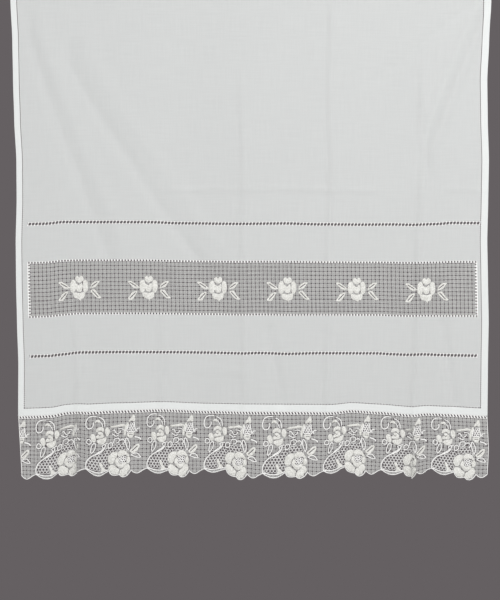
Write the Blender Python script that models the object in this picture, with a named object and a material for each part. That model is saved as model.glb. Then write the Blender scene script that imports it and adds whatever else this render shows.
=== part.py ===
"""A sheer curtain panel hung flat: hemmed voile with two drawn-thread rows, a net insert
with six worked roses, and a scalloped lace edging.

Metres, +Z up, front towards -Y. The origin is the middle of the top edge.
Every piece is drawn flat, as (across, drop) from that origin, and then hung on one
shared drape, so the pieces still meet once they are folded.
"""

import math
from collections import namedtuple

import bmesh
import bpy
import numpy as np
from mathutils import Vector
from mathutils.geometry import delaunay_2d_cdt

# The cloth
WIDTH = 1.000
VOILE_DROP = 0.956
LEFT_HEM = 0.0120
RIGHT_HEM = 0.0140
FOOT_HEM = 0.0145
TOP_HEM = 0.028
PLAIN_THICK = 0.0012
DOUBLED_THICK = 0.0022
# From the thin side to the thick side of a hem or a worked shape
STEP_RUN = 0.0008
SEAM_GAP = 0.0004

# The window that the net insert is sewn into
WINDOW_LEFT = -0.4755
WINDOW_RIGHT = 0.4775
WINDOW_HEAD = 0.6370
WINDOW_FOOT = 0.7540

# The two drawn-thread rows
LADDER_PITCH = 0.0072
LADDER_HOLE_WIDE = 0.0042
LADDER_HOLE_TALL = 0.0051
LADDER_SLANT = 0.0020
LadderRow = namedtuple("LadderRow", "drop left right")
LADDER_ROWS = [
    LadderRow(drop=0.5582, left=-0.4743, right=0.4809),
    LadderRow(drop=0.8342, left=-0.4736, right=0.4756),
]

# The spacing of the points that follow the folds
ACROSS_STEPS = 30
GRID_ACROSS = 0.034
GRID_DROP = 0.042
GRID_CLEAR = 0.011
CREASE_STEP = 0.065

# The lace edging, drawn along its own length from its first cusp. Its pattern has nine
# repeats, of which the first and last are cut off by the lace's ends.
LACE_HEAD = VOILE_DROP + SEAM_GAP
LACE_DEPTH = 0.1405
REPEAT = 0.126
REPEATS = range(-1, 8)
# The left end leans in by this much of its depth. Worked shapes stay this clear of both.
END_LEAN = 0.058
EDGE_CLEAR = 0.003

# Where the lace's length lies across the cloth, and the two lengths taken up in tucks
Lay = namedtuple("Lay", "along across")
LAYS = [
    Lay(-0.0405, -0.5000),
    Lay(0.0000, -0.4615),
    Lay(0.0872, -0.3742),
    Lay(0.1087, -0.3727),
    Lay(0.1260, -0.3553),
    Lay(0.2520, -0.2253),
    Lay(0.3780, -0.1040),
    Lay(0.5040, 0.0202),
    Lay(0.6300, 0.1500),
    Lay(0.7560, 0.2730),
    Lay(0.8185, 0.3371),
    Lay(0.8385, 0.3386),
    Lay(0.8820, 0.3795),
    Lay(1.0005, 0.5000),
]
Tuck = namedtuple("Tuck", "start end")
TUCKS = [Tuck(0.0872, 0.1087), Tuck(0.8185, 0.8385)]

# Where each side of the hung cloth lies at each drop
Side = namedtuple("Side", "drop left right")
SIDES = [
    Side(0.000, -0.5125, 0.5130),
    Side(0.085, -0.5080, 0.5110),
    Side(0.170, -0.5040, 0.5070),
    Side(0.254, -0.5025, 0.5030),
    Side(0.339, -0.5000, 0.5040),
    Side(0.424, -0.4955, 0.5065),
    Side(0.509, -0.4950, 0.5050),
    Side(0.594, -0.4970, 0.5030),
    Side(0.678, -0.4963, 0.5045),
    Side(0.763, -0.4943, 0.5060),
    Side(0.848, -0.4915, 0.5045),
    Side(0.956, -0.4920, 0.5035),
    Side(1.030, -0.4920, 0.5065),
    Side(1.097, -0.4920, 0.5035),
]

# The scalloped foot of one repeat, from cusp to cusp
Scallop = namedtuple("Scallop", "along drop")
SCALLOPS = [
    Scallop(0.0000, 0.1250),
    Scallop(0.0070, 0.1290),
    Scallop(0.0150, 0.1325),
    Scallop(0.0240, 0.1340),
    Scallop(0.0330, 0.1320),
    Scallop(0.0410, 0.1280),
    Scallop(0.0475, 0.1255),
    Scallop(0.0495, 0.1300),
    Scallop(0.0540, 0.1345),
    Scallop(0.0600, 0.1360),
    Scallop(0.0680, 0.1355),
    Scallop(0.0710, 0.1375),
    Scallop(0.0750, 0.1410),
    Scallop(0.0810, 0.1415),
    Scallop(0.0870, 0.1380),
    Scallop(0.0935, 0.1295),
    Scallop(0.0980, 0.1335),
    Scallop(0.1040, 0.1360),
    Scallop(0.1100, 0.1345),
    Scallop(0.1170, 0.1295),
]
CORNER_DROP = 0.1295

# Flowers, as place, size and number of petals: the insert's from its middle, the
# edging's from a repeat's cusp and the lace's head
Flower = namedtuple("Flower", "along drop wide tall petals")
INSERT_ROSE = Flower(0.0000, 0.0000, 0.0360, 0.0500, 6)
INSERT_ROSES = 6
INSERT_PITCH = 0.1470
INSERT_FIRST = -0.3665
INSERT_MIDDLE = 0.6980
BIG_ROSE = Flower(0.0700, 0.1080, 0.0455, 0.0490, 5)
SMALL_ROSE = Flower(0.0300, 0.0510, 0.0400, 0.0360, 5)
PETAL_DIP = 0.16

# Leaves, from stalk to tip, and their width
Leaf = namedtuple("Leaf", "stalk_along stalk_drop tip_along tip_drop wide")
INSERT_LEAVES = [
    Leaf(-0.0200, -0.0010, -0.0435, -0.0160, 0.0110),
    Leaf(-0.0225, 0.0050, -0.0450, 0.0230, 0.0110),
    Leaf(0.0225, -0.0030, 0.0440, -0.0170, 0.0110),
    Leaf(0.0240, 0.0030, 0.0470, 0.0200, 0.0110),
]
EDGING_LEAVES = [
    Leaf(0.0900, 0.0830, 0.0870, 0.0640, 0.0085),
    Leaf(0.0920, 0.0905, 0.1100, 0.0740, 0.0110),
    Leaf(0.0980, 0.0975, 0.1150, 0.1015, 0.0080),
    Leaf(0.0390, 0.1230, 0.0290, 0.1075, 0.0090),
    Leaf(0.0800, 0.0320, 0.0510, 0.0340, 0.0050),
]

# The butterfly's raised wings, round from the tip of the upper one
Wing = namedtuple("Wing", "along drop")
BUTTERFLY = [
    Wing(0.0995, 0.0070),
    Wing(0.1045, 0.0200),
    Wing(0.1050, 0.0420),
    Wing(0.0990, 0.0600),
    Wing(0.0865, 0.0560),
    Wing(0.0810, 0.0430),
    Wing(0.0850, 0.0240),
]

# How far the cloth sinks across the width, in millimetres: at both drawn-thread rows, at
# the hem, and at the lace's foot beyond that
FIRST_ROW_SINKS = [
    (-500, 2.5), (-435, 1.0), (-400, -2.5), (-212, -2.0), (-148, 0.0), (-21, 1.5), (74, 0.5),
    (138, 2.5), (233, 3.0), (297, 2.5), (345, 3.5), (392, 2.0), (424, -0.5), (500, 0.0),
]
SECOND_ROW_SINKS = [
    (-500, 7.5), (-435, 5.5), (-403, 2.0), (-371, -2.0), (-276, -3.0), (-180, -2.5),
    (-85, -1.5), (-21, 0.0), (10, -1.0), (74, 1.0), (138, -0.5), (265, 0.0), (297, 2.0),
    (328, 3.0), (360, 2.0), (424, 4.0), (500, 5.0),
]
HEM_SINKS = [
    (-500, 11.0), (-454, 9.5), (-428, 8.0), (-394, 1.5), (-372, 0.5), (-350, 1.5),
    (-297, -1.5), (-195, -4.5), (-106, -0.5), (25, 1.0), (102, 1.5), (170, 2.0),
    (210, -2.5), (271, 1.5), (339, 7.0), (371, 4.0), (413, 5.5), (500, 10.5),
]
FOOT_SINKS = [
    (-500, -3.0), (-428, 2.0), (-394, -3.5), (-372, -8.5), (-325, 4.5), (-255, -2.5),
    (-174, 4.0), (-127, -1.5), (-97, -2.0), (-72, -5.5), (-34, 3.5), (-15, 3.0), (17, 6.5),
    (55, 7.0), (85, 2.0), (106, -1.5), (148, 1.0), (187, -8.5), (220, -2.0), (271, -2.0),
    (322, -3.0), (339, -5.0), (371, -10.5), (413, -4.5), (435, -1.5), (460, -4.5), (500, -5.5),
]

# Folds: the start and end of each one's line, how far the line bows sideways, and the
# half width and height of its ridge, or trough where the height is negative. On a fold
# that runs down the cloth, side is across and along is drop. On one that runs across,
# they change places. The press creases are sharp enough to need points of their own.
Fold = namedtuple("Fold", "start_side start_along end_side end_along bow half_width height")
SOFT_FOLDS = [
    Fold(-0.466, 0.159, -0.307, 0.625, -0.006, 0.014, -0.0028),
    Fold(-0.440, 0.150, -0.275, 0.600, -0.006, 0.018, 0.0022),
    Fold(-0.382, 0.223, -0.117, 0.630, -0.010, 0.016, -0.0038),
    Fold(-0.345, 0.200, -0.080, 0.600, -0.010, 0.022, 0.0024),
    Fold(0.513, 0.060, 0.384, 0.400, 0.000, 0.012, 0.0040),
    Fold(0.487, 0.060, 0.358, 0.400, 0.000, 0.012, -0.0044),
    Fold(0.445, 0.106, 0.276, 0.244, 0.000, 0.016, -0.0026),
    Fold(0.034, 0.790, 0.060, 0.930, 0.000, 0.010, -0.0042),
    Fold(0.403, 0.774, 0.428, 0.933, 0.000, 0.010, -0.0044),
]
LACE_FOLDS = [
    Fold(-0.3735, 0.990, -0.3735, 1.080, 0.000, 0.008, 0.0065),
    Fold(0.3378, 0.990, 0.3378, 1.080, 0.000, 0.008, 0.0065),
]
PRESS_CREASES = [
    Fold(-0.375, 0.780, -0.372, 0.945, 0.000, 0.006, 0.0032),
    Fold(-0.194, 0.760, -0.194, 0.945, 0.000, 0.005, 0.0028),
    Fold(-0.019, 0.340, -0.018, 0.945, 0.000, 0.005, 0.0028),
    Fold(0.170, 0.160, 0.156, 0.945, 0.002, 0.005, 0.0036),
    Fold(0.362, 0.300, 0.342, 0.945, 0.002, 0.005, 0.0036),
]
FOLDS_ACROSS = [
    Fold(0.487, -0.140, 0.486, 0.235, -0.002, 0.005, 0.0020),
    Fold(0.486, 0.415, 0.489, 0.490, 0.000, 0.005, 0.0016),
    Fold(0.873, -0.110, 0.872, -0.020, 0.000, 0.008, 0.0012),
]
FOLD_FADE = 0.22

# Slow waves over the whole width: wavelength, height and start
Wave = namedtuple("Wave", "length height start")
CLOTH_WAVES = [Wave(0.370, 0.0034, 0.6), Wave(0.213, 0.0022, 2.1)]
LACE_WAVES = [Wave(0.094, 0.0026, 1.0)]
WAVES_AT_HEAD = 0.30


def soft_step(t):
    t = np.clip(t, 0.0, 1.0)
    return t * t * (3.0 - 2.0 * t)


def between(pairs, at):
    """The value of a table at some places, read between its rows with soft steps."""
    keys = np.array([pair[0] for pair in pairs])
    values = np.array([pair[1] for pair in pairs])
    at = np.clip(at, keys[0], keys[-1])
    low = np.clip(np.searchsorted(keys, at, side="right") - 1, 0, len(keys) - 2)
    share = (at - keys[low]) / (keys[low + 1] - keys[low])
    return values[low] + (values[low + 1] - values[low]) * (0.5 * share + 0.5 * soft_step(share))


def fold_relief(fold, side, along):
    """How far one fold stands forward at a point."""
    t = (along - fold.start_along) / (fold.end_along - fold.start_along)
    on_line = np.clip(t, 0.0, 1.0)
    middle = fold.start_side + (fold.end_side - fold.start_side) * on_line
    middle = middle + fold.bow * 4.0 * on_line * (1.0 - on_line)
    ends = soft_step((t + FOLD_FADE) / FOLD_FADE) * soft_step((1.0 + FOLD_FADE - t) / FOLD_FADE)
    return fold.height * ends * np.exp(-(((side - middle) / fold.half_width) ** 2))


def wave_relief(waves, across):
    return sum(wave.height * np.sin(math.tau * across / wave.length + wave.start) for wave in waves)


def relief(across, drop):
    """How far the cloth stands forward of its hanging plane."""
    down = np.clip(drop / VOILE_DROP, 0.0, 1.0)
    in_lace = np.clip((drop - VOILE_DROP) / LACE_DEPTH, 0.0, 1.0)
    forward = (WAVES_AT_HEAD + (1.0 - WAVES_AT_HEAD) * down) * wave_relief(CLOTH_WAVES, across)
    forward = forward + in_lace * wave_relief(LACE_WAVES, across)
    for fold in SOFT_FOLDS + LACE_FOLDS + PRESS_CREASES:
        forward = forward + fold_relief(fold, across, drop)
    for fold in FOLDS_ACROSS:
        forward = forward + fold_relief(fold, drop, across)
    return forward


def sunk(across, drop):
    """How far a point of the flat cloth sinks below its drop."""
    stops = [0.0, LADDER_ROWS[0].drop, LADDER_ROWS[1].drop, VOILE_DROP]
    tables = [FIRST_ROW_SINKS, SECOND_ROW_SINKS, HEM_SINKS]
    at_stops = [0.0] + [between(table, across * 1000.0) for table in tables]
    sink = 0.0
    for head, foot, start, end in zip(stops, stops[1:], at_stops, at_stops[1:]):
        sink = sink + (end - start) * np.clip((drop - head) / (foot - head), 0.0, 1.0)
    in_lace = np.clip((drop - VOILE_DROP) / LACE_DEPTH, 0.0, 1.0)
    return (sink + in_lace * between(FOOT_SINKS, across * 1000.0)) / 1000.0


def hung(across, drop):
    """The place in the drape of a point of the flat cloth."""
    left = between([(side.drop, side.left) for side in SIDES], drop)
    right = between([(side.drop, side.right) for side in SIDES], drop)
    x = left + (right - left) * (across / WIDTH + 0.5)
    return x, -relief(across, drop), -(drop + sunk(across, drop))


def hung_with_front(across, drop):
    """The hung points and the directions in which their fronts face."""
    nudge = 0.0005
    here = np.stack(hung(across, drop), axis=1)
    beside = np.stack(hung(across + nudge, drop), axis=1) - here
    below = np.stack(hung(across, drop + nudge), axis=1) - here
    front = np.cross(beside, -below)
    front = front / np.linalg.norm(front, axis=1)[:, None]
    return here, front * np.where(front[:, 1:2] > 0.0, -1.0, 1.0)


def inside(polygon, point):
    """Whether a flat point lies inside a polygon."""
    found = False
    for (ax, ay), (bx, by) in zip(polygon, polygon[1:] + polygon[:1]):
        if (ay > point[1]) != (by > point[1]):
            if point[0] < ax + (bx - ax) * (point[1] - ay) / (by - ay):
                found = not found
    return found


def spaced(start, end, count):
    """Count steps from start towards end, without end itself."""
    return [start + (end - start) * step / count for step in range(count)]


def steps_for(length, step):
    return max(1, round(length / step))


def box_outline(left, right, head, foot, across_steps, drop_steps):
    """A rectangle whose sides are divided, so that it can follow the folds."""
    outline = [(a, head) for a in spaced(left, right, across_steps)]
    outline += [(right, b) for b in spaced(head, foot, drop_steps)]
    outline += [(a, foot) for a in spaced(right, left, across_steps)]
    outline += [(left, b) for b in spaced(foot, head, drop_steps)]
    return outline


def shrunk(polygon, inset):
    """A copy of a star-shaped outline, drawn in towards its middle."""
    mid_a = sum(point[0] for point in polygon) / len(polygon)
    mid_b = sum(point[1] for point in polygon) / len(polygon)
    drawn_in = []
    for a, b in polygon:
        reach = math.hypot(a - mid_a, b - mid_b)
        keep = (reach - inset) / reach
        drawn_in.append((mid_a + (a - mid_a) * keep, mid_b + (b - mid_b) * keep))
    return drawn_in


def bounds_of(polygon):
    along = [point[0] for point in polygon]
    down = [point[1] for point in polygon]
    return min(along), max(along), min(down), max(down)


def within(box, point):
    return box[0] <= point[0] <= box[1] and box[2] <= point[1] <= box[3]


def flower_outline(flower, along, drop):
    """A flower's outline round a point, with a dip between each two petals."""
    outline = []
    for step in range(2 * flower.petals):
        turn = math.tau * step / (2 * flower.petals)
        reach = 1.0 - PETAL_DIP * (step % 2)
        a = along + flower.along + 0.5 * flower.wide * reach * math.sin(turn)
        b = drop + flower.drop + 0.5 * flower.tall * reach * math.cos(turn)
        outline.append((a, b))
    return outline


def leaf_outline(leaf, along, drop):
    """A pointed leaf from its stalk to its tip."""
    run = leaf.tip_along - leaf.stalk_along
    fall = leaf.tip_drop - leaf.stalk_drop
    long = math.hypot(run, fall)
    side_a, side_b = -fall / long * leaf.wide / 2.0, run / long * leaf.wide / 2.0
    outline = []
    for share, spread in ((0.0, 0.0), (0.35, 1.0), (0.70, 0.8), (1.0, 0.0), (0.70, -0.8), (0.35, -1.0)):
        a = along + leaf.stalk_along + run * share + side_a * spread
        b = drop + leaf.stalk_drop + fall * share + side_b * spread
        outline.append((a, b))
    return outline


def grid(left, right, head, foot):
    """Evenly spaced points inside a rectangle, clear of its sides."""
    columns = steps_for(right - left, GRID_ACROSS)
    rows = steps_for(foot - head, GRID_DROP)
    return [
        (left + (right - left) * column / columns, head + (foot - head) * row / rows)
        for row in range(1, rows)
        for column in range(1, columns)
    ]


def crease_lines(fold):
    """Points along a sharp crease: its ridge and both its feet."""
    count = steps_for(fold.end_along - fold.start_along, CREASE_STEP)
    lines = []
    for reach in (-1.8, 0.0, 1.8):
        line = []
        for step in range(count + 1):
            t = step / count
            middle = fold.start_side + (fold.end_side - fold.start_side) * t
            middle += fold.bow * 4.0 * t * (1.0 - t) + reach * fold.half_width
            line.append((middle, fold.start_along + (fold.end_along - fold.start_along) * t))
        lines.append(line)
    return lines


def sheet(name, outline, cuts, worked, thin_box, loose, material):
    """A closed sheet: a flat outline with holes, hung on the drape, then given its thickness.

    worked holds the outlines that stand proud. Outside thin_box, a rectangle as left,
    right, head and foot, the cloth is doubled. loose holds the other points.
    """
    rings = [outline] + cuts
    for shape in worked:
        rings += [shape, shrunk(shape, STEP_RUN)]
    if thin_box:
        left, right, head, foot = thin_box
        for out in (0.0, STEP_RUN):
            steps = steps_for(foot - head, GRID_DROP)
            rings.append(box_outline(left - out, right + out, head - out, foot + out, ACROSS_STEPS, steps))
    points = []
    edges = []
    for ring in rings:
        first = len(points)
        points += ring
        edges += [(first + i, first + (i + 1) % len(ring)) for i in range(len(ring))]
    taken = np.array(points)
    for point in loose:
        if np.min(np.hypot(taken[:, 0] - point[0], taken[:, 1] - point[1])) > GRID_CLEAR:
            points.append(point)
    flat, _, faces, _, _, _ = delaunay_2d_cdt([Vector(p) for p in points], edges, [], 0, 1e-6)

    cut_boxes = [bounds_of(cut) for cut in cuts]
    kept = []
    for face in faces:
        middle = tuple(sum((flat[i] for i in face), Vector((0.0, 0.0))) / len(face))
        if not inside(outline, middle):
            continue
        if any(within(box, middle) and inside(cut, middle) for cut, box in zip(cuts, cut_boxes)):
            continue
        kept.append(face)

    half = np.full(len(flat), PLAIN_THICK / 2.0)
    tops = [shrunk(shape, STEP_RUN * 0.9) for shape in worked]
    top_boxes = [bounds_of(top) for top in tops]
    margin = STEP_RUN / 2.0
    for index, (a, b) in enumerate(flat):
        doubled = False
        if thin_box:
            doubled = a < left - margin or a > right + margin or b < head - margin or b > foot + margin
        if doubled or any(within(box, (a, b)) and inside(top, (a, b)) for top, box in zip(tops, top_boxes)):
            half[index] = DOUBLED_THICK / 2.0

    across = np.array([point[0] for point in flat])
    drop = np.array([point[1] for point in flat])
    here, front = hung_with_front(across, drop)
    mesh = bmesh.new()
    used = sorted({index for face in kept for index in face})
    fronts = {i: mesh.verts.new(here[i] + front[i] * half[i]) for i in used}
    backs = {i: mesh.verts.new(here[i] - front[i] * half[i]) for i in used}
    sides = set()
    for face in kept:
        mesh.faces.new([fronts[i] for i in face])
        mesh.faces.new([backs[i] for i in reversed(face)])
        sides.update(zip(face, face[1:] + face[:1]))
    for start, end in sorted(sides):
        if (end, start) not in sides:
            mesh.faces.new([fronts[end], fronts[start], backs[start], backs[end]])
    bmesh.ops.recalc_face_normals(mesh, faces=mesh.faces)
    data = bpy.data.meshes.new(name)
    mesh.to_mesh(data)
    mesh.free()
    data.shade_smooth()
    data.set_sharp_from_angle(angle=math.radians(35.0))
    data.materials.append(material)
    piece = bpy.data.objects.new(name, data)
    bpy.context.scene.collection.objects.link(piece)
    return piece


def cloth_material(name, colour, roughness):
    material = bpy.data.materials.new(name)
    material.use_nodes = True
    shader = material.node_tree.nodes["Principled BSDF"]
    shader.inputs["Base Color"].default_value = (*colour, 1.0)
    shader.inputs["Roughness"].default_value = roughness
    shader.inputs["Metallic"].default_value = 0.0
    return material


def window_outline(gap):
    """The seam of the window, or a piece that leaves this gap inside it."""
    return box_outline(
        WINDOW_LEFT + gap, WINDOW_RIGHT - gap, WINDOW_HEAD + gap, WINDOW_FOOT - gap, ACROSS_STEPS, 3
    )


def ladder_holes(row):
    """The slanting gaps of one drawn-thread row."""
    count = round((row.right - row.left) / LADDER_PITCH)
    head = row.drop - LADDER_HOLE_TALL / 2.0
    foot = row.drop + LADDER_HOLE_TALL / 2.0
    lean = LADDER_SLANT / 2.0
    holes = []
    for index in range(count):
        left = row.left + index * LADDER_PITCH
        right = left + LADDER_HOLE_WIDE
        holes.append([(left + lean, head), (right + lean, head), (right - lean, foot), (left - lean, foot)])
    return holes


def voile_panel(material):
    outline = box_outline(
        -WIDTH / 2.0, WIDTH / 2.0, 0.0, VOILE_DROP, ACROSS_STEPS, steps_for(VOILE_DROP, GRID_DROP)
    )
    cuts = [window_outline(0.0)]
    for row in LADDER_ROWS:
        cuts += ladder_holes(row)
    thin_box = (
        -WIDTH / 2.0 + LEFT_HEM,
        WIDTH / 2.0 - RIGHT_HEM,
        TOP_HEM,
        VOILE_DROP - FOOT_HEM,
    )
    loose = [point for fold in PRESS_CREASES for line in crease_lines(fold) for point in line]
    clear = [point for point in loose if TOP_HEM < point[1] < VOILE_DROP - FOOT_HEM]
    for point in grid(-WIDTH / 2.0, WIDTH / 2.0, 0.0, VOILE_DROP):
        if all(math.hypot(point[0] - a, point[1] - b) > GRID_CLEAR for a, b in clear):
            clear.append(point)
    return sheet("voile_panel", outline, cuts, [], thin_box, clear, material)


def lace_insert(material):
    worked = []
    for index in range(INSERT_ROSES):
        along = INSERT_FIRST + index * INSERT_PITCH
        worked.append(flower_outline(INSERT_ROSE, along, INSERT_MIDDLE))
        worked += [leaf_outline(leaf, along, INSERT_MIDDLE) for leaf in INSERT_LEAVES]
    loose = grid(WINDOW_LEFT, WINDOW_RIGHT, WINDOW_HEAD, WINDOW_FOOT)
    return sheet("lace_insert", window_outline(SEAM_GAP), [], worked, None, loose, material)


def laid(along):
    """Where a length of the lace lies across the cloth."""
    return float(np.interp(along, [lay.along for lay in LAYS], [lay.across for lay in LAYS]))


def in_tuck(along):
    return any(tuck.start < along < tuck.end for tuck in TUCKS)


def left_end(drop):
    """The lace's left side, which leans in towards its foot."""
    return -WIDTH / 2.0 + END_LEAN * (drop - LACE_HEAD)


def edging_outline():
    """The lace's head, its right side, its scallops from right to left, and its left side."""
    right = WIDTH / 2.0
    corner = LACE_HEAD + CORNER_DROP
    outline = [(a, LACE_HEAD) for a in spaced(-right, right, ACROSS_STEPS)]
    outline += [(right, b) for b in spaced(LACE_HEAD, corner, 4)]
    outline.append((right, corner))
    foot = []
    for repeat in REPEATS:
        for scallop in SCALLOPS:
            along = repeat * REPEAT + scallop.along
            if not in_tuck(along):
                foot.append((laid(along), LACE_HEAD + scallop.drop))
    clear = 0.004
    outline += [point for point in reversed(foot) if left_end(point[1]) + clear < point[0] < right - clear]
    outline += [(left_end(b), b) for b in spaced(corner, LACE_HEAD, 4)]
    return outline


def edging_shapes(repeat):
    """The worked shapes of one repeat, without those that a tuck or an end hides in part."""
    cusp = repeat * REPEAT
    drawn = [flower_outline(flower, cusp, LACE_HEAD) for flower in (BIG_ROSE, SMALL_ROSE)]
    drawn.append([(cusp + wing.along, LACE_HEAD + wing.drop) for wing in BUTTERFLY])
    drawn += [leaf_outline(leaf, cusp, LACE_HEAD) for leaf in EDGING_LEAVES]
    shapes = []
    for shape in drawn:
        shape_laid = [(laid(along), b) for along, b in shape]
        own, shown = bounds_of(shape), bounds_of(shape_laid)
        hidden = shown[1] - shown[0] < 0.85 * (own[1] - own[0])
        in_ends = left_end(shown[3]) + EDGE_CLEAR < shown[0] and shown[1] < WIDTH / 2.0 - EDGE_CLEAR
        if in_ends and not hidden:
            shapes.append(shape_laid)
    return shapes


def lace_edging(material):
    worked = [shape for repeat in REPEATS for shape in edging_shapes(repeat)]
    loose = [point for fold in LACE_FOLDS for line in crease_lines(fold) for point in line]
    loose += grid(-WIDTH / 2.0, WIDTH / 2.0, LACE_HEAD, LACE_HEAD + CORNER_DROP)
    return sheet("lace_edging", edging_outline(), [], worked, None, loose, material)


def main():
    for thing in list(bpy.data.objects):
        bpy.data.objects.remove(thing)
    voile = cloth_material("white_voile", (0.90, 0.90, 0.89), 0.85)
    lace = cloth_material("white_lace", (0.90, 0.89, 0.86), 0.90)
    voile_panel(voile)
    lace_insert(lace)
    lace_edging(lace)


main()
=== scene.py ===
import math
from collections import namedtuple

import bpy
import numpy as np
from mathutils.kdtree import KDTree
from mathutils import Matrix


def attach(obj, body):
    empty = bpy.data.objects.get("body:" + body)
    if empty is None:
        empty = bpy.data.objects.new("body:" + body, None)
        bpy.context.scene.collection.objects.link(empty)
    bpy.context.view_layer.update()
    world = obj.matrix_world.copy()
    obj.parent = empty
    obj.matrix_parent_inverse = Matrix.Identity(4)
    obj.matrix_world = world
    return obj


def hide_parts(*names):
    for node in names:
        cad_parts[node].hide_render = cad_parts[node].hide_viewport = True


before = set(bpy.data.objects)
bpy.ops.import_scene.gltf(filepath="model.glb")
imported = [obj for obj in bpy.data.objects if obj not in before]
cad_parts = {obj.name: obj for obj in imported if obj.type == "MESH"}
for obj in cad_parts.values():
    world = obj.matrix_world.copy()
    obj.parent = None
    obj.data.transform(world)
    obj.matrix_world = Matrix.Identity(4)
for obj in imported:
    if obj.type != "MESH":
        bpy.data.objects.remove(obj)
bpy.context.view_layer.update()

# The curtain is drawn flat, as across and drop from the middle of its top edge, in metres.
# Flat pieces lie in the XZ plane, with their front towards -Y, and hang() puts them on the
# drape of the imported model, whose tables are repeated here.
ACROSS = (1.0, 0.0, 0.0)
DOWN = (0.0, 0.0, -1.0)
MM = 0.001
WIDTH = 1.000
HALF = WIDTH / 2.0
VOILE_DROP = 0.956
LEFT_HEM = 0.0120
RIGHT_HEM = 0.0140
FOOT_HEM = 0.0145
TOP_HEM = 0.028
FIELD_LEFT = -HALF + LEFT_HEM
FIELD_RIGHT = HALF - RIGHT_HEM
FIELD_FOOT = VOILE_DROP - FOOT_HEM
WINDOW_LEFT = -0.4755
WINDOW_RIGHT = 0.4775
WINDOW_HEAD = 0.6370
WINDOW_FOOT = 0.7540
LADDER_PITCH = 0.0072
LADDER_TALL = 0.0060
LadderRow = namedtuple("LadderRow", "drop left right")
LADDER_ROWS = [LadderRow(0.5582, -0.4743, 0.4809), LadderRow(0.8342, -0.4736, 0.4756)]
LACE_HEAD = VOILE_DROP + 0.0004
LACE_DEPTH = 0.1405
INSERT_ROSES = 6
INSERT_PITCH = 0.1470
INSERT_FIRST = -0.3665
INSERT_MIDDLE = 0.6980

# The lace edging is drawn along its own length, which two standing tucks take up in places.
# Its shapes are charted in millimetres, along one repeat and down from the lace's head.
REPEAT = 0.126
REPEATS_BEFORE = 1
REPEATS_DRAWN = 9
LACE_START = -0.0395
LACE_END = 0.9995
# The lace's left end leans in by this much of its depth
END_LEAN = 0.058
# Places along the lace, and where across the curtain each one hangs
LAYS = [
    (-0.0405, -0.5000), (0.0000, -0.4615), (0.0872, -0.3742), (0.1087, -0.3727),
    (0.1260, -0.3553), (0.2520, -0.2253), (0.3780, -0.1040), (0.5040, 0.0202),
    (0.6300, 0.1500), (0.7560, 0.2730), (0.8185, 0.3371), (0.8385, 0.3386),
    (0.8820, 0.3795), (1.0005, 0.5000),
]
Tuck = namedtuple("Tuck", "start end height")
TUCKS = [Tuck(0.0872, 0.1087, 0.0080), Tuck(0.8185, 0.8385, 0.0080)]
# The share of its height that a tuck has at the lace's head, and the drop in which it opens
TUCK_AT_HEAD = 0.35
TUCK_OPENS_IN = 0.030
SCALLOPS = [
    (0, 125), (7, 129), (15, 132.5), (24, 134), (33, 132), (41, 128), (47.5, 125.5), (49.5, 130),
    (54, 134.5), (60, 136), (66, 136), (69, 135.5), (71, 137.5), (75, 141), (81, 141.5), (87, 138),
    (91, 133), (93.5, 129.5), (98, 133.5), (104, 136), (110, 134.5), (117, 129.5),
]
# Closed areas of solid stitching
SMALL_ROSE = [
    [(20.5, 43.5), (20.5, 40), (22.5, 36), (27, 33), (32.5, 33), (36.5, 36), (37.5, 40.5),
     (35, 43), (31.5, 41), (28, 40.5), (24, 42.5)],
    [(20.5, 52.5), (24.5, 49), (29, 51), (32.5, 45), (35.5, 47.5), (36.5, 53), (33, 56),
     (26.5, 56.5), (21.5, 56.5)],
    [(8.5, 53), (12, 48), (17, 48.5), (19, 53), (20.5, 59), (18, 64.5), (13.5, 64.5), (10.5, 59)],
    [(22, 60.5), (27, 58), (34.5, 57), (41.5, 54.5), (42, 59.5), (39.5, 65.5), (33.5, 69),
     (27, 68), (23, 65)],
    [(39, 41), (41, 36), (44.5, 35), (48.5, 39), (49, 46), (46, 52), (42.5, 52.5), (40, 47.5)],
    [(25, 44.5), (28.5, 42.5), (32.5, 44), (31.5, 47), (29, 49.5), (26, 48)],
]
BIG_ROSE = [
    [(45, 102), (46.5, 95), (52, 89), (59, 87), (64.5, 89), (64.5, 95), (60.5, 101),
     (58.5, 107.5), (55.5, 111.5), (50, 111.5), (46, 107)],
    [(66, 89), (71.5, 84.5), (77.5, 85), (82, 87), (86.5, 92.5), (89, 97.5), (84, 99), (83, 96),
     (73.5, 96), (68, 97.5), (65.5, 94)],
    [(84.5, 101), (89, 99), (91.5, 104), (91, 111), (87, 113.5), (84, 111), (83.5, 105)],
    [(61.5, 102), (65, 99.5), (67.5, 103.5), (67.5, 109), (70.5, 112.5), (76, 112.5), (82, 111),
     (83.5, 114), (79, 119.5), (74, 122.5), (68.5, 120.5), (63.5, 115.5), (60, 109.5)],
    [(46.5, 117), (50.5, 113.5), (56, 114), (60, 116.5), (64.5, 121), (69, 125), (68, 130),
     (67, 134), (61, 134.5), (55, 133), (49, 127), (46.5, 122)],
    [(71.5, 126.5), (77, 123), (81.5, 117), (87, 115.5), (91, 120.5), (91, 127), (87, 131),
     (85, 136.5), (80, 138), (76.5, 141), (72, 139), (69.5, 134)],
]
BUTTERFLY = [
    [(98.5, 9.5), (101.5, 14.5), (102, 20.5), (100, 25), (95.5, 23), (90, 25), (88.5, 23), (93, 17)],
    [(82, 33), (85.5, 27), (87.5, 27.5), (85.5, 34), (83, 42.5), (81.5, 53.5), (78, 53), (78, 45),
     (80, 38.5)],
    [(85, 49.5), (91.5, 48.5), (99, 49), (98.5, 53.5), (95, 59.5), (89.5, 59), (85.5, 55)],
    [(49.5, 34.5), (56.5, 32), (66, 31), (74, 29), (81, 31), (82, 34), (75, 34), (66, 35),
     (56.5, 36)],
]
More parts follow.
